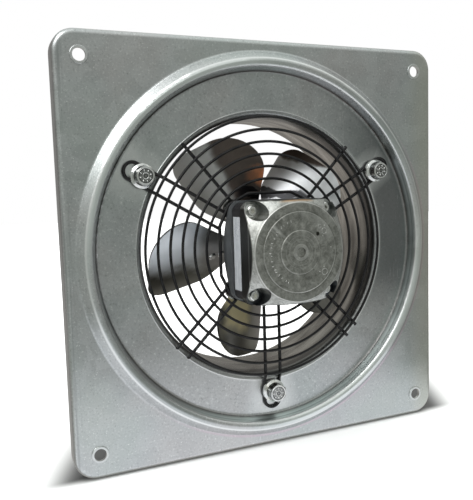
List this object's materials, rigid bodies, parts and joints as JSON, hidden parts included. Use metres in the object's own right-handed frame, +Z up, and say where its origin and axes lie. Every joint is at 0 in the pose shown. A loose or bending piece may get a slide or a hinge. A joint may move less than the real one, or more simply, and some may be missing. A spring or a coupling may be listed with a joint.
{
  "type": "exhaust hood fan",
  "caption": "Square wall-plate axial exhaust fan with a pressed bell-mouth ring, black wire guard, external square motor and a sheet-metal petal impeller that turns.",
  "frame": {"origin": "centre of the four wall-bolt holes, on the front (intake side) face of the plate", "axes": "+X right and +Z up as seen from the intake side, +Y into the wall along the air flow and the impeller's axis"},
  "size_m": [0.316, 0.1097, 0.316],
  "materials": {
    "galvanised_sheet": "galvanised, semi-matt",
    "black_wire": "black powder coat",
    "zinc_fastener": "bright zinc plated",
    "cast_aluminium": "die cast, mottled",
    "dark_casting": "black-blue coated casting",
    "laminations": "varnished steel laminations",
    "copper_winding": "enamelled copper",
    "bobbin_plastic": "natural nylon",
    "label_foil": "blank foil label",
    "bearing_steel": "ground bearing steel",
    "shaft_steel": "turned steel",
    "grommet_rubber": "black rubber",
    "blade_steel": "plain pressed steel",
    "hub_steel": "dark pressed steel"
  },
  "bodies": {
    "housing": {"cable_grommet": "grommet_rubber", "clamp_nuts": "zinc_fastener", "coil_bobbins": "bobbin_plastic", "duct_sleeve": "galvanised_sheet", "front_bearing_outer": "bearing_steel", "front_shield": "cast_aluminium", "guard_bolts": "zinc_fastener", "guard_clamps": "zinc_fastener", "guard_inner_frame": "black_wire", "guard_loops": "black_wire", "guard_pair_spokes": "black_wire", "guard_rings": "black_wire", "guard_single_spokes": "black_wire", "guard_spacers": "zinc_fastener", "guard_washers": "zinc_fastener", "motor_screws": "zinc_fastener", "nameplate": "label_foil", "preload_washer": "shaft_steel", "rear_bearing_outer": "bearing_steel", "rear_shield": "dark_casting", "screw_washers": "zinc_fastener", "stator_coils": "copper_winding", "stator_core": "laminations", "wall_plate": "galvanised_sheet", "weld_nuts": "zinc_fastener"},
    "impeller": {"blade_1": "blade_steel", "blade_2": "blade_steel", "blade_3": "blade_steel", "blade_4": "blade_steel", "blade_5": "blade_steel", "blade_rivets": "zinc_fastener", "front_bearing_balls": "bearing_steel", "front_bearing_inner": "bearing_steel", "hub_boss": "hub_steel", "hub_set_screw": "shaft_steel", "hub_spider": "hub_steel", "rear_bearing_balls": "bearing_steel", "rear_bearing_inner": "bearing_steel", "rotor_core": "laminations", "rotor_end_rings": "cast_aluminium", "rotor_shaft": "shaft_steel", "shaft_clip": "shaft_steel"}
  },
  "joints": [
    {"name": "impeller_spin", "type": "hinge", "parent": "housing", "child": "impeller", "pos_m": [0, 0.031, 0], "axis": [0, 1, 0], "continuous": true}
  ]
}
